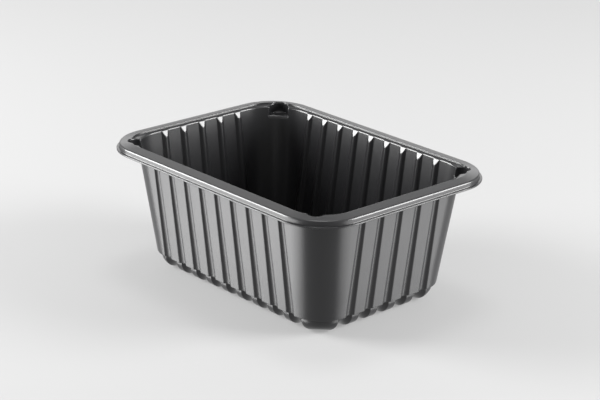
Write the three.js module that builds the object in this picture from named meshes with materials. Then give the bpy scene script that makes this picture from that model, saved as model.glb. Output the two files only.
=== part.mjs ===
// A black plastic food tray, moulded in one thin sheet: a flat base, a foot of rounded toes
// with scoops between them, ribbed walls that lean out, a half-round stacking pocket high in
// each corner, and a rim made of a ledge, a short drop, a sloping flange, a skirt and a lip.
// Millimetres, +Z up, the long sides along X, the origin at the middle of the underside.

import * as THREE from "three";

// Overall size, over the lip
const LENGTH = 187;
const WIDTH = 137;
const HEIGHT = 75;
const SHEET = 0.75; // thickness of the plastic
const LIP_CORNER = 28; // corner radius of the lip, seen from above

// Outer face of the wall
const WALL_TOP = { halfLength: 84.2, halfWidth: 59.1, radius: 24.2 }; // carried up to HEIGHT
const WALL_LEAN = 0.139; // inwards for each millimetre down
const WALL_CORNER_LEAN = 0.071; // lost by the corner radius for each millimetre down
const WALL_FACE = SHEET * Math.hypot(1, WALL_LEAN); // level distance between the two faces

// Foot of the wall: a crease, a step inwards, and toes that round down to the base
const CREASE_Z = 9.3;
const STEP_WIDTH = 2.65;
const STEP_LIFT = 0.6; // how much higher the crease and the step are on the inner face
const HEEL_RADIUS = 8.7;
const HEEL_STEPS = 4;
const CORNER_TUCK = 3; // how much wider the heel is in the middle of a corner
const BASE_MARGIN = 5; // from the base's edge to the loop where the scoops have died out

// Scoops between the toes, one under each rib, cut square to the heel
const SCOOP_DEPTH = { base: 1.4, step: 2.4 };
const SCOOP_HALF_WIDTH = 4.2;
const SCOOP_CORNER_WIDTH = 5.8; // of a side's last scoop, towards the corner
const PAST_CORNER_SHARE = 0.3; // of a corner radius, the most that a scoop reaches round it
const CORNER_GAP_SHARE = 0.06; // of a corner radius, from there to the corner's first column

// Ribs: grooves in the outer face, ridges on the inner face
const LONG_SIDE = { ribs: 9, pitch: 13.1 };
const SHORT_SIDE = { ribs: 5, pitch: 13.74 };
const RIB_DEPTH = { top: 1.25, foot: 1.7 };
const RIB_HALF_WIDTH = { top: 2.1, foot: 3.1 }; // where a rib leaves the wall
const RIB_FLAT = 0.8; // half of its flat crest
const RIDGE_EXTRA = 0.2; // a ridge is this much wider each way than its groove
const RIB_FULL_Z = 70.1; // the slanted top of a ridge ends here

// Stacking pockets, one in each corner
const POCKET_ANGLE = THREE.MathUtils.degToRad(50.5); // from the X axis to the pocket's axis
const POCKET_HALF_WIDTH = 5.8;
const POCKET_REACH = 6.0; // beyond the inner face of the wall
const POCKET_FLOOR_Z = 68.2;
const POCKET_STEPS = 8;
const SMALL_ARC_SHARE = 0.35; // of a corner radius, the most that the pocket's columns span
const CORNER_STEPS_BEFORE = 5; // from the short side's end to the pocket
const CORNER_STEPS_AFTER = 4; // from the pocket to the long side's end

// Rim: the bends of its section, as the distance in from the lip's edge and the height.
// pocketGap is the least distance from a bend to the pocket's inner face, 0 for any.
const LEDGE_Z = 73.6;
const UNDER_LEDGE_Z = 73.0;
const UNDER_RIM = [
  { inset: 7.85, z: 73.5, pocketGap: 0.95 }, // foot of the drop
  { inset: 7.7, z: 74.15, pocketGap: 1.2 }, // under the flange
  { inset: 2.75, z: 73.3, pocketGap: 0 },
  { inset: 2.35, z: 73.0, pocketGap: 0 }, // inside of the skirt
  { inset: 2.2, z: 70.45, pocketGap: 0 }, // under the lip
  { inset: 0, z: 70.3, pocketGap: 0 },
];
const OVER_RIM = [
  { inset: 0, z: 71.1, pocketGap: 0 }, // edge of the lip
  { inset: 1.45, z: 71.25, pocketGap: 0 }, // foot of the skirt
  { inset: 1.6, z: 73.2, pocketGap: 0 },
  { inset: 1.9, z: 73.85, pocketGap: 0 }, // rounded shoulder
  { inset: 2.5, z: 74.05, pocketGap: 0 },
  { inset: 7.9, z: HEIGHT, pocketGap: 0.8 }, // inner edge of the flange, the highest line
  { inset: 8.4, z: 74.75, pocketGap: 0.4 },
  { inset: 8.6, z: 74.1, pocketGap: 0.2 }, // foot of the drop, where the ledge starts
];

// ---- Levels: one closed loop round the tray, with all that its outline needs ----

// Value that runs from its foot size at the crease to its top size at the rim
function alongWall(size, z) {
  const share = Math.min(1, Math.max(0, (z - CREASE_Z) / (HEIGHT - CREASE_Z)));
  return size.foot + (size.top - size.foot) * share;
}

// Section of the ribs at a height on the wall, where they are set straight in
function wallRib(z, inner) {
  const extra = inner ? RIDGE_EXTRA : 0;
  const halfWidth = alongWall(RIB_HALF_WIDTH, z) + extra;
  return {
    inwards: alongWall(RIB_DEPTH, z),
    upwards: 0,
    halfWidth,
    cornerWidth: halfWidth,
    flat: RIB_FLAT + extra,
  };
}

// Section of the scoops at a turn of the heel, from 0 at the base to a right angle at the step
function heelScoop(turn, inner) {
  const extra = inner ? RIDGE_EXTRA : 0;
  const depth = SCOOP_DEPTH.base + (SCOOP_DEPTH.step - SCOOP_DEPTH.base) * Math.sin(turn);
  return {
    inwards: depth * Math.sin(turn),
    upwards: depth * Math.cos(turn),
    halfWidth: SCOOP_HALF_WIDTH + extra,
    cornerWidth: SCOOP_CORNER_WIDTH + extra,
    flat: RIB_FLAT + extra,
  };
}

// The same section with no depth left
function flattened(rib) {
  return { ...rib, inwards: 0, upwards: 0 };
}

// Loop on the wall, the heel or the base. inset is measured from the outer face of the
// wall at height faceZ, and sizes the corner radius too.
function wallLevel({ z, faceZ = z, inset = 0, tuck = 0, rib, inner = false, pocket = null }) {
  const down = HEIGHT - faceZ;
  return {
    z,
    grow: inner ? 0 : SHEET,
    halfLength: WALL_TOP.halfLength - WALL_LEAN * down - inset,
    halfWidth: WALL_TOP.halfWidth - WALL_LEAN * down - inset,
    radius: WALL_TOP.radius - WALL_CORNER_LEAN * down - inset,
    tuck,
    rib: rib ?? wallRib(faceZ, inner),
    pocket,
  };
}

// Loop on the rim, which has no ribs and so needs only the columns of its corners
function rimLevel({ inset, z, pocketGap }, grow) {
  return {
    z,
    grow,
    halfLength: LENGTH / 2 - inset,
    halfWidth: WIDTH / 2 - inset,
    radius: LIP_CORNER - inset,
    tuck: 0,
    cornersOnly: true,
    pocketGap,
  };
}

// ---- Pocket: half an ellipse that stands on a chord of the wall's inner corner arc ----

const pocketAxis = new THREE.Vector2(Math.cos(POCKET_ANGLE), Math.sin(POCKET_ANGLE));
const pocketSide = new THREE.Vector2(-pocketAxis.y, pocketAxis.x);

function cornerCentre(level) {
  return new THREE.Vector2(level.halfLength - level.radius, level.halfWidth - level.radius);
}

const ledgeLevel = wallLevel({ z: LEDGE_Z, inset: WALL_FACE, inner: true });
const pocketChord = cornerCentre(ledgeLevel).addScaledVector(
  pocketAxis,
  Math.sqrt(ledgeLevel.radius ** 2 - POCKET_HALF_WIDTH ** 2),
);
const POCKET_DEPTH =
  POCKET_REACH + ledgeLevel.radius - Math.sqrt(ledgeLevel.radius ** 2 - POCKET_HALF_WIDTH ** 2);

// Point at turn -90 to 90 degrees from the pocket's axis, on its inner face grown outwards
function pocketPoint(turn, grow) {
  return pocketChord
    .clone()
    .addScaledVector(pocketSide, (POCKET_HALF_WIDTH + grow) * Math.sin(turn))
    .addScaledVector(pocketAxis, (POCKET_DEPTH + grow) * Math.cos(turn));
}

// Angle on a level's corner arc of the point that is as far from the pocket's axis as the
// pocket's own point at that turn, or nearer where the arc is small
function arcAngleBesidePocket(level, turn) {
  const centre = cornerCentre(level);
  const centreOff = centre.clone().sub(pocketChord).dot(pocketSide);
  const halfWidth = Math.min(POCKET_HALF_WIDTH + level.grow, SMALL_ARC_SHARE * level.radius);
  return POCKET_ANGLE + Math.asin((halfWidth * Math.sin(turn) - centreOff) / level.radius);
}

// ---- Outline: one quarter, from the middle of the short side to that of the long side ----

// Point at an angle of the corner that runs from start to stop, set in by the level's tuck
function cornerPoint(level, angle, start, stop) {
  const tuck = level.tuck * Math.sin((Math.PI * (angle - start)) / (stop - start));
  const centre = cornerCentre(level);
  return new THREE.Vector2(
    centre.x + (level.radius - tuck) * Math.cos(angle),
    centre.y + (level.radius - tuck) * Math.sin(angle),
  );
}

// How far the last rib of a side reaches past the place where the corner's arc starts
function pastCorner(level, { ribs, pitch }, arcStart) {
  const end = ((ribs - 1) / 2) * pitch + level.rib.cornerWidth;
  return Math.max(0, Math.min(end - arcStart, PAST_CORNER_SHARE * level.radius));
}

// Angle between the end of a side and the corner's first column, 0 where the side ends plainly
function cornerStart(level, side, arcStart) {
  const past = level.rib ? pastCorner(level, side, arcStart) : 0;
  return past > 0 ? Math.asin(past / level.radius + CORNER_GAP_SHARE) : 0;
}

// Rib columns from the middle of a side: distance along it, distance in from it, and height
function ribColumns(level, side, arcStart) {
  const { rib, radius, z } = level;
  const columns = [];
  for (let i = 0; i <= (side.ribs - 1) / 2; i += 1) {
    const section = [
      { off: -rib.halfWidth, share: 0 },
      { off: -rib.flat, share: 1 },
      { off: rib.flat, share: 1 },
      { off: rib.halfWidth, share: 0 },
    ];
    const shown = i === 0 ? section.slice(2) : section; // the middle rib is halved
    columns.push(...shown.map(({ off, share }) => ({
      along: i * side.pitch + off,
      inwards: rib.inwards * share,
      z: z + rib.upwards * share,
    })));
  }
  const end = columns[columns.length - 1];
  const past = pastCorner(level, side, arcStart);
  if (past > 0) {
    end.along = arcStart + past;
    end.inwards = radius - Math.sqrt(radius ** 2 - past ** 2);
  }
  return columns;
}

function quarterCorner(level) {
  const points = [];
  const centre = cornerCentre(level);
  const start = cornerStart(level, SHORT_SIDE, centre.y);
  const stop = Math.PI / 2 - cornerStart(level, LONG_SIDE, centre.x);
  const first = arcAngleBesidePocket(level, -Math.PI / 2);
  const last = arcAngleBesidePocket(level, Math.PI / 2);
  for (let i = 0; i < CORNER_STEPS_BEFORE; i += 1) {
    const angle = start + ((first - start) * i) / CORNER_STEPS_BEFORE;
    points.push({ at: cornerPoint(level, angle, start, stop), z: level.z });
  }
  for (let i = 0; i <= POCKET_STEPS; i += 1) {
    const turn = (Math.PI * i) / POCKET_STEPS - Math.PI / 2;
    const plain = cornerPoint(level, arcAngleBesidePocket(level, turn), start, stop);
    points.push(pocketColumn(level, turn, plain, i === 0 || i === POCKET_STEPS));
  }
  for (let i = 1; i <= CORNER_STEPS_AFTER; i += 1) {
    const angle = last + ((stop - last) * i) / CORNER_STEPS_AFTER;
    points.push({ at: cornerPoint(level, angle, start, stop), z: level.z });
  }
  return points;
}

// A pocket column lies on the pocket's face, on the plain arc, or on whichever is further out
function pocketColumn(level, turn, plain, atEnd) {
  if (level.pocket && !atEnd) {
    return {
      at: level.pocket.onFace ? pocketPoint(turn, level.grow) : plain,
      z: level.pocket.z,
    };
  }
  if (!level.pocketGap) return { at: plain, z: level.z };
  const face = pocketPoint(turn, level.pocketGap);
  const further = face.clone().sub(plain).dot(pocketAxis) > 0;
  return { at: further && !atEnd ? face : plain, z: level.z };
}

function quarterOutline(level) {
  const corner = quarterCorner(level);
  if (level.cornersOnly) return corner;
  const centre = cornerCentre(level);
  const shortSide = ribColumns(level, SHORT_SIDE, centre.y).map((column) => ({
    at: new THREE.Vector2(level.halfLength - column.inwards, column.along),
    z: column.z,
  }));
  const longSide = ribColumns(level, LONG_SIDE, centre.x).map((column) => ({
    at: new THREE.Vector2(column.along, level.halfWidth - column.inwards),
    z: column.z,
  }));
  return [...shortSide, ...corner, ...longSide.reverse()];
}

// Whole loop, counterclockwise from above: the quarter and its three mirror images
function loop(level) {
  const quarter = quarterOutline(level);
  const mirrored = (x, y) =>
    quarter.map(({ at, z }) => new THREE.Vector3(at.x * x, at.y * y, z));
  return [
    ...mirrored(1, 1),
    ...mirrored(-1, 1).reverse(),
    ...mirrored(-1, -1),
    ...mirrored(1, -1).reverse(),
  ];
}

// ---- The sheet, as rows of points from the underside's middle, over the rim, to the floor ----

// Rows of one face of the wall, from the base upwards
function wallRows(inner) {
  const inset = inner ? WALL_FACE : 0;
  const sheet = inner ? SHEET : 0;
  const lift = inner ? STEP_LIFT : 0;
  const heel = HEEL_RADIUS - sheet;
  const standing = STEP_WIDTH + sheet;
  const levels = [];
  levels.push(wallLevel({
    z: sheet,
    faceZ: CREASE_Z,
    inset: standing + heel + BASE_MARGIN,
    rib: flattened(wallRib(CREASE_Z, inner)),
    inner,
  }));
  for (let i = 0; i <= HEEL_STEPS; i += 1) {
    const turn = (Math.PI / 2) * (i / HEEL_STEPS);
    levels.push(wallLevel({
      z: sheet + heel * (1 - Math.cos(turn)) + (i === HEEL_STEPS ? lift : 0),
      faceZ: CREASE_Z,
      inset: standing + heel * (1 - Math.sin(turn)),
      tuck: CORNER_TUCK * (1 - Math.sin(turn)),
      rib: heelScoop(turn, inner),
      inner,
    }));
  }
  levels.push(wallLevel({ z: CREASE_Z + lift, inset, inner }));
  const floorZ = POCKET_FLOOR_Z - (inner ? 0 : SHEET);
  levels.push(wallLevel({ z: floorZ, inset, inner, pocket: { onFace: false, z: floorZ } }));
  levels.push(wallLevel({
    z: RIB_FULL_Z, inset, inner, pocket: { onFace: true, z: floorZ },
  }));
  const topZ = inner ? LEDGE_Z : UNDER_LEDGE_Z;
  levels.push(wallLevel({
    z: topZ,
    inset,
    rib: flattened(wallRib(topZ, inner)),
    inner,
    pocket: { onFace: true, z: topZ },
  }));
  return levels;
}

const columnCount = loop(ledgeLevel).length;
const cornerCount = loop(rimLevel(OVER_RIM[0], 0)).length;
const sideColumns = ribColumns(ledgeLevel, SHORT_SIDE, cornerCentre(ledgeLevel).y).length;

// Where a row of corner columns stands in for the rib columns, each takes the nearer corner's
function cornerIndex(column) {
  const quarterColumns = columnCount / 4;
  const quarterCorners = cornerCount / 4;
  const quarter = Math.floor(column / quarterColumns);
  const place = column - quarter * quarterColumns;
  const forward = quarter % 2 === 0;
  const before = forward ? sideColumns : quarterColumns - quarterCorners - sideColumns;
  const corner = Math.min(quarterCorners - 1, Math.max(0, place - before));
  return quarter * quarterCorners + corner;
}

function trayGeometry() {
  const positions = [];
  const indices = [];
  const rows = [];
  function addRow(points, indexOf) {
    const start = positions.length / 3;
    points.forEach((point) => positions.push(point.x, point.y, point.z));
    rows.push((column) => start + indexOf(column % columnCount));
  }
  const addLoop = (level) => {
    addRow(loop(level), level.cornersOnly ? cornerIndex : (column) => column);
  };

  addRow([new THREE.Vector3(0, 0, 0)], () => 0);
  wallRows(false).forEach(addLoop);
  UNDER_RIM.forEach((bend) => addLoop(rimLevel(bend, SHEET)));
  OVER_RIM.forEach((bend) => addLoop(rimLevel(bend, 0)));
  wallRows(true).reverse().forEach(addLoop);
  addRow([new THREE.Vector3(0, 0, SHEET)], () => 0);

  function addTriangle(a, b, c) {
    if (a !== b && b !== c && c !== a) indices.push(a, b, c);
  }
  for (let row = 0; row + 1 < rows.length; row += 1) {
    for (let column = 0; column < columnCount; column += 1) {
      const [low, high] = [rows[row], rows[row + 1]];
      addTriangle(low(column), low(column + 1), high(column + 1));
      addTriangle(low(column), high(column + 1), high(column));
    }
  }
  const geometry = new THREE.BufferGeometry();
  geometry.setAttribute("position", new THREE.Float32BufferAttribute(positions, 3));
  geometry.setIndex(indices);
  geometry.computeVertexNormals();
  return geometry;
}

const blackPlastic = new THREE.MeshStandardMaterial({
  color: 0x1b1b1c,
  roughness: 0.42,
  metalness: 0,
});

const tray = new THREE.Mesh(trayGeometry(), blackPlastic);
tray.name = "tray";

const group = new THREE.Group();
group.add(tray);

export default group;
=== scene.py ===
"""A black ribbed plastic food tray on a pale studio floor.

The tray is one thin moulded sheet. Its visual mesh is a grid: rows are closed loops that run
from the middle of the underside, out and up the outer face, over the rim and down the inner
face to the middle of the floor, and columns run round the tray. Sizes are in millimetres until
the mesh is made, which is in metres like everything else in the scene.
"""

import math

import bpy
import numpy as np
from mathutils import Matrix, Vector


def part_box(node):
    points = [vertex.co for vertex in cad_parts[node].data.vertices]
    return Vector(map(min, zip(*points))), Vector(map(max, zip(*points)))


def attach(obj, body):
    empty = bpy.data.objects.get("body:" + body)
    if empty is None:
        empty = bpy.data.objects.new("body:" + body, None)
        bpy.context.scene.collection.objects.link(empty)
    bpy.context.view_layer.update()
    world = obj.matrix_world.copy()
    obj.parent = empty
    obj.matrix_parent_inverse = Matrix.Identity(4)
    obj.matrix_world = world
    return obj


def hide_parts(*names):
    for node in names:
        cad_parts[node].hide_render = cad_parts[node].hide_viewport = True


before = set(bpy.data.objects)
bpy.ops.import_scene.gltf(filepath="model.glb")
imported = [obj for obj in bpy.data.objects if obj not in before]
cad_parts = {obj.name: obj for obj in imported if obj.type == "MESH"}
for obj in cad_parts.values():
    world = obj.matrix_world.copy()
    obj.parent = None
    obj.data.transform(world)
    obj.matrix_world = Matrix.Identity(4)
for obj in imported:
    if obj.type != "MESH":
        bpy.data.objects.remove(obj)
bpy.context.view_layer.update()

MM = 0.001

# ---- Sizes of the tray, in millimetres ----

_, box_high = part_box("tray")
HALF_LENGTH = box_high[0] / MM
HALF_WIDTH = box_high[1] / MM
HEIGHT = box_high[2] / MM
SHEET = 0.75
LIP_CORNER = 28.0

# Wall: how far in its outer face is from the lip's edge, carried up to HEIGHT
WALL_INSET = 9.35
WALL_CORNER = 24.2
WALL_LEAN = 0.139
WALL_CORNER_LEAN = 0.071
WALL_FACE = SHEET * math.hypot(1, WALL_LEAN)

# Foot: a crease, a step inwards, and toes that round down to the base
CREASE_Z = 9.3
STEP_WIDTH = 2.65
STEP_Z = 8.75
STEP_LIFT = 0.6  # how much higher the crease and the step are on the inner face
HEEL_RADIUS = 8.7
CORNER_TUCK = 3.0  # how far in the middle of a corner toe is at the base
HEEL_SLACK = 0.1  # how much smaller the heel's arc is, so that it starts just under the step
BASE_MARGIN = 3.6
BASE_ROWS = (1.0, 2.0, 2.8, BASE_MARGIN)  # how far past the heel
FLAT_RING_SHARE = 0.93  # size of the last ring before the middle, which is flat on both sides

# Scoops between the toes, one under each rib, cut square to the heel
SCOOP_DEPTH = (1.4, 2.4)  # at the base and at the step
SCOOP_HALF_WIDTH = 4.2
SCOOP_CORNER_WIDTH = 5.8
SCOOP_EDGE_BLEND = 0.2

# How far the last rib's columns and scoop may go on round a corner, in shares of its radius
PAST_CORNER_SHARE = 0.3
CORNER_GAP_SHARE = 0.04

# Ribs
LONG_SIDE_RIBS = 9
SHORT_SIDE_RIBS = 5
LONG_SIDE_PITCH = 13.1
SHORT_SIDE_PITCH = 13.74
RIB_DEPTH = (1.7, 1.25)  # at the crease and at the rim
RIB_HALF_WIDTH = (3.1, 2.1)
RIB_FLAT = 0.8
RIDGE_EXTRA = 0.2  # how much wider the same rib is on the inner face
RIB_FULL_Z = 70.1
GROOVE_EDGE_BLEND = 0.35
GROOVE_FLOOR_BLEND = 1.0
FACET_BLEND = 0.12
OUTERMOST = 0.7  # how far past a rib's edge its outermost column is

# Pockets
POCKET_ANGLE = math.radians(50.5)
POCKET_HALF_WIDTH = 5.8
POCKET_REACH = 6.0
POCKET_FLOOR_Z = 68.2
POCKET_LOWEST_Z = 66.4
POCKET_FLOOR_FILLET = {"inner": 1.1, "outer": 1.6}
POCKET_EDGE_FILLET = 0.9
FLOOR_FILLET_SHARE = 0.45  # the most that a fillet may take of the pocket's reach
EDGE_FILLET_SHARE = 0.4
POCKET_CLEARANCE_BLEND = 0.5
SMALL_ARC_SHARE = 0.35  # the most that the pocket's columns take of a corner's radius

# Rim: each place is (inset, height)
LEDGE_Z = 73.6
LEDGE_THICKNESS = 0.6
DROP = (8.6, 74.1)
FLANGE_INSET = 8.45
FLANGE_SLOPE = 0.165
SHOULDER = (1.62, 73.95)
SKIRT_FOOT = (1.45, 71.25)
LIP_TOP = (0.0, 71.1)
LIP_BOTTOM = (0.0, 70.3)
UNDER_LIP = (1.0, 70.36)
UNDER_SKIRT = (2.25, 70.5)
UNDER_SHOULDER = (2.4, 73.25)
UNDER_FLANGE = (7.65, 74.15)
UNDER_DROP = (7.75, 74.0)
UNDER_DROP_FOOT = (7.85, 73.5)

# Rows and columns of the mesh
SUPPORT = 0.12  # how far from an arc its supporting rows are
POCKET_WALL_ROWS = 5
POCKET_FILLET_ROWS = 4
POCKET_FLOOR_ROWS = 2
POCKET_EDGE_ROWS = 3
POCKET_TAIL_ROWS = 2
POCKET_ROWS = (
    POCKET_WALL_ROWS + POCKET_FILLET_ROWS + POCKET_FLOOR_ROWS + POCKET_EDGE_ROWS + POCKET_TAIL_ROWS
)
WALL_ROWS = 6
WALL_ROWS_END = 2.5  # how far above the crease the last of them is
POCKET_TURNS = 24
CORNER_STEPS_BEFORE = 16
CORNER_STEPS_AFTER = 12


def wall_inset(z, inner):
    """How far in the wall is at a height, between its ribs."""
    return WALL_INSET + WALL_LEAN * (HEIGHT - z) + (WALL_FACE if inner else 0.0)


def wall_corner(z, inner):
    """Radius of the wall's corners at a height."""
    return WALL_CORNER - WALL_CORNER_LEAN * (HEIGHT - z) - (WALL_FACE if inner else 0.0)


# ---- Sections: a section is a list of rows, each with its inset, height and corner radius ----


def rounded_path(bends):
    """Rows along a section, with a true arc at each bend, and the last row of each bend.

    A bend is (inset, height, corner radius in plan, radius of its arc, steps of its arc). A row
    is added a little before and after each arc, so that smooth shading leaves the flats flat.
    """
    rows = [np.array(bends[0][:3])]
    marks = [0]
    for before, here, after in zip(bends, bends[1:], bends[2:]):
        p0, p1, p2 = (np.array(bend[:3], float) for bend in (before, here, after))
        fillet, steps = here[3], here[4]
        if fillet == 0:
            rows.append(p1)
            marks.append(len(rows) - 1)
            continue
        into = (p1 - p0) / np.linalg.norm((p1 - p0)[:2])
        out = (p2 - p1) / np.linalg.norm((p2 - p1)[:2])
        turn = math.acos(max(-1.0, min(1.0, float(into[:2] @ out[:2]))))
        reach = fillet * math.tan(turn / 2)
        start, end = p1 - into * reach, p1 + out * reach
        side = (out[:2] - into[:2] * math.cos(turn)) / math.sin(turn)
        rows.append(start - into * SUPPORT)
        for step in range(steps + 1):
            angle = turn * step / steps
            flat = fillet * (math.sin(angle) * into[:2] + (1 - math.cos(angle)) * side)
            radius = start[2] + (end[2] - start[2]) * step / steps
            rows.append(np.array([*(start[:2] + flat), radius]))
        rows.append(end + out * SUPPORT)
        marks.append(len(rows) - 1)
    rows.append(np.array(bends[-1][:3], float))
    marks.append(len(rows) - 1)
    return np.array(rows), marks


def rim_bend(place, fillet=0.0, steps=0):
    inset, z = place
    return (inset, z, LIP_CORNER - inset, fillet, steps)


def wall_bend(z, inner, fillet=0.0, steps=0):
    return (wall_inset(z, inner), z, wall_corner(z, inner), fillet, steps)


def foot_bends(inner):
    """The crease, the step, the heel and the flat base, from the wall inwards."""
    sheet = SHEET if inner else 0.0
    lift = STEP_LIFT if inner else 0.0
    standing = wall_inset(CREASE_Z, False) + STEP_WIDTH + sheet
    standing_corner = wall_corner(CREASE_Z, False) - STEP_WIDTH - sheet
    heel = HEEL_RADIUS - sheet
    step_fillet, step_steps = 0.2, 2
    heel_steps = 12
    bends = [
        wall_bend(CREASE_Z + lift, inner, fillet=0.45, steps=4),
        (standing, STEP_Z + lift, standing_corner, step_fillet, step_steps),
        (standing, sheet, standing_corner - heel / 2, heel - HEEL_SLACK, heel_steps),
    ]
    base = [
        (standing + heel + past, sheet, standing_corner - heel - past, 0.0, 0)
        for past in BASE_ROWS
    ]
    return bends + base


def ledge_z(inner):
    return LEDGE_Z if inner else LEDGE_Z - LEDGE_THICKNESS


def ledge_bends(inner):
    """The drop from the flange and the ledge, and the height where the wall starts under them."""
    top = ledge_z(inner)
    if inner:
        above_drop = (DROP[0] - 0.1, DROP[1] + 0.5)
        bends = [
            rim_bend(above_drop),
            rim_bend(DROP, fillet=0.2, steps=3),
            wall_bend(top, inner, fillet=0.9, steps=7),
        ]
        return bends, top - 1.1
    bends = [
        rim_bend(UNDER_DROP),
        rim_bend(UNDER_DROP_FOOT, fillet=0.2, steps=3),
        wall_bend(top, inner, fillet=0.35, steps=5),
    ]
    return bends, top - 0.6


def face_section(inner):
    """Rows of one face from the rim's drop to the base.

    With them come the numbers of the drop's last row and the pocket's first row.
    """
    rim, start_z = ledge_bends(inner)
    heights = np.linspace(start_z, POCKET_LOWEST_Z, POCKET_ROWS)
    pocket = [wall_bend(z, inner) for z in heights]
    lower = np.linspace(POCKET_LOWEST_Z, CREASE_Z + WALL_ROWS_END, WALL_ROWS)[1:]
    wall = [wall_bend(z, inner) for z in lower]
    rows, marks = rounded_path(rim + pocket + wall + foot_bends(inner))
    return rows, marks[1], marks[len(rim)]


def over_rim():
    """Rows over the rim, from under the lip's edge to the flange's inner edge."""
    flange_end = (FLANGE_INSET, SHOULDER[1] + FLANGE_SLOPE * (FLANGE_INSET - SHOULDER[0]))
    below_flange = (DROP[0] - 0.05, DROP[1] + 0.45)
    bends = [
        rim_bend(UNDER_LIP),
        rim_bend(LIP_BOTTOM, fillet=0.22, steps=3),
        rim_bend(LIP_TOP, fillet=0.25, steps=3),
        rim_bend(SKIRT_FOOT, fillet=0.35, steps=4),
        rim_bend(SHOULDER, fillet=1.15, steps=9),
        rim_bend(flange_end, fillet=0.45, steps=6),
        rim_bend(below_flange),
    ]
    rows, _ = rounded_path(bends)
    return rows[:-1]


def under_rim():
    """Rows under the rim, from the drop out to the lip."""
    bends = [
        rim_bend(UNDER_DROP),
        rim_bend(UNDER_FLANGE, fillet=0.15, steps=2),
        rim_bend(UNDER_SHOULDER, fillet=0.4, steps=4),
        rim_bend(UNDER_SKIRT, fillet=0.3, steps=3),
        rim_bend(UNDER_LIP),
    ]
    rows, _ = rounded_path(bends)
    return rows[1:-1]


# ---- Ribs ----


def soft_max(a, b, blend):
    """The larger of a and b, rounded over where they are within blend of each other."""
    near = np.maximum(blend - np.abs(a - b), 0.0) / blend
    return np.maximum(a, b) + near * near * blend / 4


def soft_min(a, b, blend):
    return -soft_max(-a, -b, blend)


def rib_offsets():
    """Columns across half a rib: (share of its half width, share of its flat, extra distance)."""
    floor_columns = [(0.0, share, 0.0) for share in (0.0, 0.6, 1.0)]
    flank_columns = [(share, 1 - share, 0.0) for share in (0.25, 0.5, 0.75)]
    edge_columns = [(1.0, 0.0, extra) for extra in (-0.3, -0.1, 0.1, 0.3, OUTERMOST)]
    return floor_columns + flank_columns + edge_columns


def side_columns(ribs, pitch):
    """Columns from the middle of a side to its end, as (rib place, sign, offset recipe)."""
    recipe = rib_offsets()
    columns = []
    for rib in range((ribs - 1) // 2 + 1):
        place = rib * pitch
        if rib > 0:
            columns += [(place, -1, offset) for offset in reversed(recipe[1:])]
        columns += [(place, 1, offset) for offset in recipe]
    return columns


def groove_depth(row, across, half_width):
    """Depth of a wall's rib at a distance from its middle: flat crest, straight flanks."""
    slope = row["depth"] / (half_width - row["flat"])
    ramp = slope * (half_width - across)
    full = soft_min(ramp, np.full_like(ramp, row["depth"]), GROOVE_FLOOR_BLEND)
    depth = soft_max(full, np.zeros_like(full), GROOVE_EDGE_BLEND)
    depth = np.where(across > half_width + GROOVE_EDGE_BLEND, 0.0, depth)
    facet = np.full_like(depth, row["facet"])
    return np.maximum(soft_min(depth, facet, FACET_BLEND), 0.0)


def scoop_depth(row, across, half_width):
    """Depth of a foot's scoop at a distance from its middle: hollow, with a crisp edge."""
    hollow = row["depth"] * (1 - (across / half_width) ** 2)
    return soft_max(hollow, np.zeros_like(hollow), SCOOP_EDGE_BLEND)


def rib_section(row, columns, arc_start):
    """Each column's distance along the side, distance in and rise, for a row.

    The last rib's outer columns go on round the corner's arc, which starts at arc_start.
    """
    place = np.array([column[0] for column in columns])
    sign = np.array([column[1] for column in columns])
    recipe = np.array([column[2] for column in columns])
    reach = arc_start + PAST_CORNER_SHARE * row["radius"] - OUTERMOST
    narrowest = row["flat"] + 0.5
    corner_width = max(min(row["corner_width"], reach - place[-1]), narrowest)
    cornerwards = (place == place[-1]) & (sign > 0)
    half_width = np.where(cornerwards, corner_width, row["half_width"])
    across = recipe[:, 0] * half_width + recipe[:, 1] * row["flat"] + recipe[:, 2]
    along = place + sign * across
    shape = scoop_depth if row["scooped"] else groove_depth
    depth = shape(row, across, half_width) * row["share"]
    past = np.maximum(along - arc_start, 0.0)
    round_off = row["radius"] - np.sqrt(row["radius"] ** 2 - past**2)
    inwards = depth * math.sin(row["turn"]) + round_off
    return along, inwards, depth * math.cos(row["turn"])


def side_end_angle(row, columns, arc_start):
    """Angle on the corner's arc at which the columns of a side end."""
    along, _, _ = rib_section(row, columns[-1:], arc_start)
    past = max(0.0, float(along[-1]) - arc_start)
    return math.asin(past / row["radius"] + CORNER_GAP_SHARE) if past > 0 else 0.0


# ---- Pockets ----

pocket_axis = np.array([math.cos(POCKET_ANGLE), math.sin(POCKET_ANGLE)])
pocket_side = np.array([-pocket_axis[1], pocket_axis[0]])


def corner_centre(inset, radius):
    return np.array([HALF_LENGTH - inset - radius, HALF_WIDTH - inset - radius])


ledge_corner = wall_corner(LEDGE_Z, True)
ledge_sagitta = ledge_corner - math.sqrt(ledge_corner**2 - POCKET_HALF_WIDTH**2)
pocket_chord = corner_centre(wall_inset(LEDGE_Z, True), ledge_corner) + pocket_axis * (
    ledge_corner - ledge_sagitta
)
pocket_depth = POCKET_REACH + ledge_sagitta
pocket_turns = np.linspace(-math.pi / 2, math.pi / 2, POCKET_TURNS + 1)


def pocket_face(grow):
    """Plan points of the pocket's face, grown outwards, one for each of its columns."""
    across = (POCKET_HALF_WIDTH + grow) * np.sin(pocket_turns)
    along = (pocket_depth + grow) * np.cos(pocket_turns)
    return pocket_chord + np.outer(across, pocket_side) + np.outer(along, pocket_axis)


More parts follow.
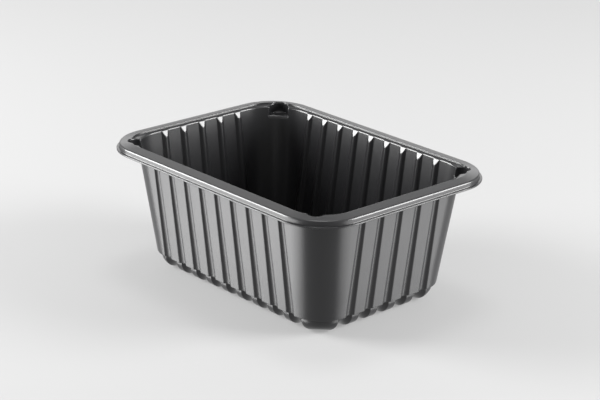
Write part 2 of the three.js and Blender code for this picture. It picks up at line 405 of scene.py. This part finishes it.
def corner_angles(row):
    """Angles of a row's corner columns, those of the pocket at the pocket's own offsets."""
    centre = corner_centre(row["inset"], row["radius"])
    centre_off = float((centre - pocket_chord) @ pocket_side)
    half_width = min(POCKET_HALF_WIDTH + row["grow"], SMALL_ARC_SHARE * row["radius"])
    off = half_width * np.sin(pocket_turns) - centre_off
    beside = POCKET_ANGLE + np.arcsin(off / row["radius"])
    start = side_end_angle(row, short_columns, centre[1])
    stop = math.pi / 2 - side_end_angle(row, long_columns, centre[0])
    before = np.linspace(start, beside[0], CORNER_STEPS_BEFORE, endpoint=False)
    after = np.linspace(beside[-1], stop, CORNER_STEPS_AFTER + 1)[1:]
    return np.concatenate([before, beside, after])


def plain_corner(row):
    angles = corner_angles(row)
    centre = corner_centre(row["inset"], row["radius"])
    share = (angles - angles[0]) / (angles[-1] - angles[0])
    radius = row["radius"] - row["tuck"] * np.sin(math.pi * share)
    return centre + np.column_stack([radius * np.cos(angles), radius * np.sin(angles)])


pocket_columns = slice(CORNER_STEPS_BEFORE, CORNER_STEPS_BEFORE + POCKET_TURNS + 1)


def pushed_by_pocket(points, z, row):
    """Moves a rim row's points out, so that they clear the pocket by the row's gap."""
    face = pocket_face(row["grow"])
    own = points[pocket_columns]
    need = (face - own) @ pocket_axis + row["gap"]
    push = soft_max(need, np.zeros_like(need), POCKET_CLEARANCE_BLEND)
    push[[0, -1]] = 0.0
    points[pocket_columns] = own + np.outer(push, pocket_axis)
    z[pocket_columns] -= FLANGE_SLOPE * push
    return points, z


def wall_level(z, inner):
    """A row of the wall at a height."""
    return make_row(wall_inset(z, inner), z, wall_corner(z, inner), inner)


def pocket_path(row):
    """Plan points and heights of the pocket's columns in one of its rows, from its top down."""
    inner = row["inner"]
    number = row["pocket_row"]
    floor_z = POCKET_FLOOR_Z - row["grow"]
    face = pocket_face(row["grow"])
    wall_at_floor = plain_corner(wall_level(floor_z, inner))[pocket_columns]
    width = (face - wall_at_floor) @ pocket_axis
    full_fillet = POCKET_FLOOR_FILLET["inner" if inner else "outer"]
    floor_fillet = np.minimum(full_fillet, FLOOR_FILLET_SHARE * width)
    edge_fillet = np.minimum(POCKET_EDGE_FILLET, EDGE_FILLET_SHARE * width)
    fillet_end = POCKET_WALL_ROWS + POCKET_FILLET_ROWS
    floor_end = fillet_end + POCKET_FLOOR_ROWS
    edge_end = floor_end + POCKET_EDGE_ROWS
    out = np.zeros_like(width)
    if number <= POCKET_WALL_ROWS:
        share = (number - 1) / (POCKET_WALL_ROWS - 1)
        top = row["pocket_top"]
        z = top + (floor_z + floor_fillet - top) * share
        out = width
    elif number <= fillet_end:
        angle = math.pi / 2 * (number - POCKET_WALL_ROWS) / POCKET_FILLET_ROWS
        z = floor_z + floor_fillet * (1 - math.sin(angle))
        out = width - floor_fillet * (1 - math.cos(angle))
    elif number <= floor_end:
        share = (number - fillet_end) / POCKET_FLOOR_ROWS
        z = np.full_like(width, floor_z)
        out = width - floor_fillet + (edge_fillet - width + floor_fillet) * share
    elif number <= edge_end:
        angle = math.pi / 2 * (number - floor_end) / POCKET_EDGE_ROWS
        z = floor_z - edge_fillet * (1 - math.cos(angle))
        out = edge_fillet * (1 - math.sin(angle))
    else:
        share = (number - edge_end) / POCKET_TAIL_ROWS
        z = floor_z - edge_fillet + (POCKET_LOWEST_Z - floor_z + edge_fillet) * share
    points = wall_at_floor + np.outer(out, pocket_axis)
    on_wall = [0, -1] if number <= edge_end else range(len(width))
    for column in on_wall:
        level = wall_level(float(z[column]), inner)
        points[column] = plain_corner(level)[pocket_columns][column]
    return points, z


def ledge_points(row, plain):
    """Ledge points of the pocket's columns, from the drop's foot to the pocket's face."""
    foot = row["foot"]
    foot_points, _ = pushed_by_pocket(plain_corner(foot), np.zeros(len(plain)), foot)
    ledge_width = row["edge_inset"] - foot["inset"]
    share = min(1.0, max(0.0, (row["inset"] - foot["inset"]) / ledge_width))
    own = foot_points[pocket_columns]
    face = pocket_face(row["grow"])
    points = own + (face - own) * share
    points[[0, -1]] = plain[pocket_columns][[0, -1]]
    return points


# ---- Rows ----


def make_row(inset, z, radius, inner, **more):
    """A row with all that its outline needs, by default that of a row of the wall."""
    share = min(1.0, max(0.0, (z - CREASE_Z) / (HEIGHT - CREASE_Z)))
    extra = RIDGE_EXTRA if inner else 0.0
    facet_top = ledge_z(inner)
    depth = RIB_DEPTH[0] + (RIB_DEPTH[1] - RIB_DEPTH[0]) * share
    half_width = RIB_HALF_WIDTH[0] + (RIB_HALF_WIDTH[1] - RIB_HALF_WIDTH[0]) * share + extra
    row = {
        "inset": float(inset),
        "z": float(z),
        "radius": float(radius),
        "inner": inner,
        "grow": 0.0 if inner else SHEET,
        "depth": depth,
        "half_width": half_width,
        "corner_width": half_width,
        "flat": RIB_FLAT + extra,
        "turn": math.pi / 2,
        "scooped": False,
        "tuck": 0.0,
        "facet": max(0.0, RIB_DEPTH[1] * (facet_top - z) / (facet_top - RIB_FULL_Z)),
        "share": 1.0,
        "kind": "wall",
        "gap": 0.0,
    }
    row.update(more)
    return row


def scoop_traits(inset, z, inner):
    """What a row of the foot needs besides, with its turn round the heel: 0 under the base."""
    extra = RIDGE_EXTRA if inner else 0.0
    heel_inset = wall_inset(CREASE_Z, False) + STEP_WIDTH + HEEL_RADIUS
    turn = math.atan2(max(0.0, heel_inset - inset), max(1e-6, HEEL_RADIUS - z))
    fade = min(1.0, max(0.0, 1 - (inset - heel_inset) / BASE_MARGIN))
    return {
        "scooped": True,
        "turn": turn,
        "tuck": CORNER_TUCK * (1 - math.sin(turn)) * fade,
        "share": fade * fade * (3 - 2 * fade),
        "depth": SCOOP_DEPTH[0] + (SCOOP_DEPTH[1] - SCOOP_DEPTH[0]) * math.sin(turn),
        "half_width": SCOOP_HALF_WIDTH + extra,
        "corner_width": SCOOP_CORNER_WIDTH + extra,
    }


def rim_row(inset, z, radius, inner):
    """A row of the rim, with its gap to the pocket's face, which grows away from the drop."""
    least_gap, more_gap, over = 0.08, 0.8, 0.8
    away = max(0.0, DROP[0] - inset)
    gap = least_gap + more_gap * (1 - math.exp(-away / over))
    return make_row(inset, z, radius, inner, kind="rim", share=0.0, gap=gap)


def face_rows(inner):
    """Rows of one face of the wall, ledge and foot, from the rim down."""
    section, drop_end, first_pocket = face_section(inner)
    last_pocket = first_pocket + POCKET_ROWS
    pocket_top = section[first_pocket][1]
    edge_inset = wall_inset(ledge_z(inner), inner)
    middle_of_step = wall_inset(CREASE_Z, inner) + 0.6 * STEP_WIDTH
    rows = [rim_row(*place, inner) for place in section[: drop_end + 1]]
    drop_foot = rows[-1]
    for index in range(drop_end + 1, len(section)):
        inset, z, radius = section[index]
        more = {}
        if index < first_pocket:
            more = {"kind": "ledge", "foot": drop_foot, "edge_inset": edge_inset}
        elif index < last_pocket:
            number = index - first_pocket + 1
            more = {"kind": "pocket", "pocket_row": number, "pocket_top": pocket_top}
        elif inset > middle_of_step:
            more = scoop_traits(inset, z, inner)
        rows.append(make_row(inset, z, radius, inner, **more))
    return rows


def rim_rows(section, inner):
    return [rim_row(*place, inner) for place in section]


# ---- The mesh ----

long_columns = side_columns(LONG_SIDE_RIBS, LONG_SIDE_PITCH)
short_columns = side_columns(SHORT_SIDE_RIBS, SHORT_SIDE_PITCH)


def quarter(row):
    """Points of a row in the quarter where x and y are positive, counterclockwise."""
    half_length = HALF_LENGTH - row["inset"]
    half_width = HALF_WIDTH - row["inset"]
    arc_start = corner_centre(row["inset"], row["radius"])
    along, inwards, short_rise = rib_section(row, short_columns, arc_start[1])
    short = np.column_stack([half_length - inwards, along])
    along, inwards, long_rise = rib_section(row, long_columns, arc_start[0])
    long = np.column_stack([along, half_width - inwards])[::-1]
    corner = plain_corner(row)
    corner_z = np.full(len(corner), row["z"])
    if row["kind"] == "rim":
        corner, corner_z = pushed_by_pocket(corner, corner_z, row)
    elif row["kind"] == "ledge":
        corner[pocket_columns] = ledge_points(row, corner)
    elif row["kind"] == "pocket":
        points, z = pocket_path(row)
        corner[pocket_columns] = points
        corner_z[pocket_columns] = z
    flat = np.vstack([short, corner, long])
    z = np.concatenate([row["z"] + short_rise, corner_z, row["z"] + long_rise[::-1]])
    return np.column_stack([flat, z])


def closed_loop(row):
    """A whole row: the quarter and its mirror images, without doubled points at the middles."""
    first = quarter(row)
    mirrored = []
    for x, y, backwards in ((1, 1, False), (-1, 1, True), (-1, -1, False), (1, -1, True)):
        part = first * np.array([x, y, 1.0])
        part = part[::-1] if backwards else part
        mirrored.append(part[:-1])
    return np.vstack(mirrored)


def tray_mesh():
    """The whole sheet as one closed mesh."""
    outer = face_rows(False)
    inner = face_rows(True)
    rows = outer[::-1][:-1] + rim_rows(under_rim(), False) + rim_rows(over_rim(), True) + inner
    loops = [closed_loop(row) for row in rows]
    shrink = np.array([FLAT_RING_SHARE, FLAT_RING_SHARE, 1.0])
    loops = [loops[0] * shrink, *loops, loops[-1] * shrink]
    count = len(loops[0])
    points = np.vstack([[[0, 0, 0]], *loops, [[0, 0, SHEET]]]) * MM
    faces = []
    for column in range(count):
        after = (column + 1) % count
        faces.append((0, 1 + after, 1 + column))
        last = 1 + (len(loops) - 1) * count
        faces.append((last + column, last + after, len(points) - 1))
    for row in range(len(loops) - 1):
        low, high = 1 + row * count, 1 + (row + 1) * count
        faces += [
            (low + i, low + (i + 1) % count, high + (i + 1) % count, high + i)
            for i in range(count)
        ]
    mesh = bpy.data.meshes.new("tray_sheet")
    mesh.from_pydata(points.tolist(), [], faces)
    mesh.validate()
    mesh.shade_smooth()
    mesh.update()
    return mesh


def black_plastic():
    """Satin black plastic with a fine moulded grain and faint cloudy changes of gloss."""
    material = bpy.data.materials.new("black_plastic")
    material.use_nodes = True
    nodes, links = material.node_tree.nodes, material.node_tree.links
    shader = nodes["Principled BSDF"]
    shader.inputs["Base Color"].default_value = (0.01, 0.01, 0.0108, 1)
    shader.inputs["Roughness"].default_value = 0.29
    shader.inputs["IOR"].default_value = 1.5
    place = nodes.new("ShaderNodeTexCoord")
    clouds = nodes.new("ShaderNodeTexNoise")
    clouds.inputs["Scale"].default_value = 90
    clouds.inputs["Detail"].default_value = 4
    gloss = nodes.new("ShaderNodeMapRange")
    gloss.inputs["To Min"].default_value = 0.27
    gloss.inputs["To Max"].default_value = 0.31
    grain = nodes.new("ShaderNodeTexNoise")
    grain.inputs["Scale"].default_value = 2500
    grain.inputs["Detail"].default_value = 2
    bump = nodes.new("ShaderNodeBump")
    bump.inputs["Strength"].default_value = 0.08
    bump.inputs["Distance"].default_value = 0.0001
    links.new(place.outputs["Object"], clouds.inputs["Vector"])
    links.new(place.outputs["Object"], grain.inputs["Vector"])
    links.new(clouds.outputs["Fac"], gloss.inputs["Value"])
    links.new(gloss.outputs["Result"], shader.inputs["Roughness"])
    links.new(grain.outputs["Fac"], bump.inputs["Height"])
    links.new(bump.outputs["Normal"], shader.inputs["Normal"])
    return material


tray = bpy.data.objects.new("tray_sheet", tray_mesh())
bpy.context.collection.objects.link(tray)
tray.data.materials.append(black_plastic())
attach(tray, "root")
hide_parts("tray")

# ---- Floor, lights and camera ----


def floor():
    """A pale floor that glows a little and doesn't block the lights that reach below it."""
    half, below = 3.0, -0.0001
    corners = [(x * half, y * half, below) for x, y in ((-1, -1), (1, -1), (1, 1), (-1, 1))]
    mesh = bpy.data.meshes.new("floor")
    mesh.from_pydata(corners, [], [(0, 1, 2, 3)])
    material = bpy.data.materials.new("pale_floor")
    material.use_nodes = True
    shader = material.node_tree.nodes["Principled BSDF"]
    shader.inputs["Base Color"].default_value = (0.18, 0.18, 0.18, 1)
    shader.inputs["Roughness"].default_value = 0.9
    shader.inputs["Emission Color"].default_value = (1, 1, 1, 1)
    shader.inputs["Emission Strength"].default_value = 0.3
    mesh.materials.append(material)
    plane = bpy.data.objects.new("floor", mesh)
    plane.visible_shadow = False
    plane.visible_glossy = False
    bpy.context.collection.objects.link(plane)


def facing(right, up, back, place):
    """A matrix with these axes and this place."""
    matrix = Matrix.Identity(4)
    for column, vector in enumerate((right, up, back, place)):
        for line in range(3):
            matrix[line][column] = float(vector[line])
    return matrix


def softbox(name, azimuth, elevation, distance, width, height, power):
    """A rectangular light that faces the tray. Azimuth is counterclockwise from +X."""
    light = bpy.data.lights.new(name, "AREA")
    light.shape = "RECTANGLE"
    light.size = width
    light.size_y = height
    light.energy = power
    lamp = bpy.data.objects.new(name, light)
    lamp.visible_camera = False
    flat = distance * math.cos(math.radians(elevation))
    place = np.array([
        flat * math.cos(math.radians(azimuth)),
        flat * math.sin(math.radians(azimuth)),
        distance * math.sin(math.radians(elevation)),
    ])
    middle_of_tray = np.array([0.0, 0.0, 0.04])
    back = (place - middle_of_tray) / np.linalg.norm(place - middle_of_tray)
    right = np.cross([0, 0, 1], back)
    right = right / np.linalg.norm(right)
    lamp.matrix_world = facing(right, np.cross(back, right), back, place)
    bpy.context.collection.objects.link(lamp)


def camera():
    """The photograph's view, worked out from the tray's edges."""
    right = (0.6684, 0.7437, 0.0152)
    up = (-0.2672, 0.2211, 0.9379)
    back = (0.6942, -0.6309, 0.3465)
    place = (0.7578, -0.6854, 0.4252)
    focal_pixels = 1938.7
    picture_width = 600
    data = bpy.data.cameras.new("camera")
    data.sensor_fit = "HORIZONTAL"
    data.sensor_width = 36
    data.lens = focal_pixels / picture_width * data.sensor_width
    data.clip_start = 0.01
    data.clip_end = 50
    view = bpy.data.objects.new("camera", data)
    view.matrix_world = facing(right, up, back, place)
    bpy.context.collection.objects.link(view)
    bpy.context.scene.camera = view


def studio():
    """Two tall and two narrow side lights, one behind, one above, and an even white world."""
    softbox("left_low_softbox", 236, -17, distance=1.3, width=1.3, height=0.9, power=24)
    softbox("left_high_softbox", 220, 21, distance=1.3, width=0.6, height=0.8, power=44)
    softbox("right_low_softbox", 34, -17, distance=1.3, width=1.2, height=0.9, power=12.5)
    softbox("right_high_softbox", 42, 23, distance=1.3, width=0.6, height=0.8, power=38)
    softbox("back_softbox", 138, 20, distance=3.0, width=2.6, height=0.7, power=12)
    softbox("top_softbox", 138, 80, distance=1.5, width=0.5, height=0.5, power=8)
    world = bpy.data.worlds.new("studio")
    world.use_nodes = True
    background = world.node_tree.nodes["Background"]
    background.inputs["Color"].default_value = (1, 1, 1, 1)
    background.inputs["Strength"].default_value = 0.6
    bpy.context.scene.world = world
    bpy.context.scene.view_settings.view_transform = "Standard"


floor()
studio()
camera()
